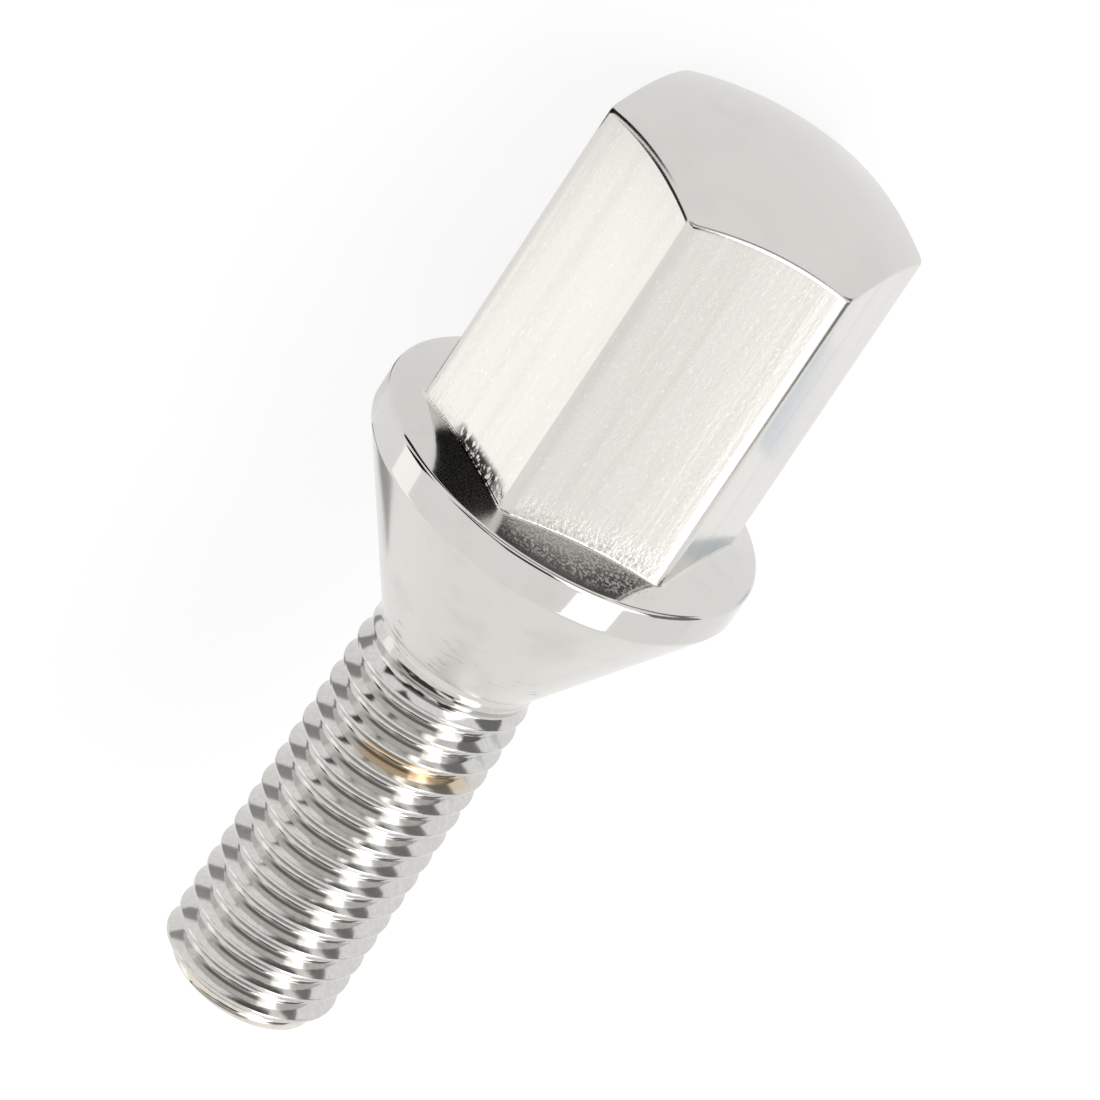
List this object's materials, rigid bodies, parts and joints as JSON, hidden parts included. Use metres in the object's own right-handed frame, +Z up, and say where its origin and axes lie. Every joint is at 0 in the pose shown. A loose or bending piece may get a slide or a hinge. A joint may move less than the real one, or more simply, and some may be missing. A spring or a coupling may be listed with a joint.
{
  "type": "lug bolt",
  "caption": "Chromed wheel lug bolt with a long domed hexagon head, a round flange, a conical seat and a coarse threaded shank.",
  "frame": {"origin": "on the surface that the bolt lies on, under the centre of its bounding box", "axes": "+X along the bolt towards its tip, seen from above; +Z up, away from the surface; the axis dips 8.2 degrees towards the head"},
  "size_m": [0.0688, 0.026, 0.026],
  "materials": {
    "chrome": "bright chrome plating over steel, smooth turned and forged faces, lightly scratched hex flats"
  },
  "bodies": {
    "root": {"lug_bolt": "chrome"}
  },
  "joints": []
}
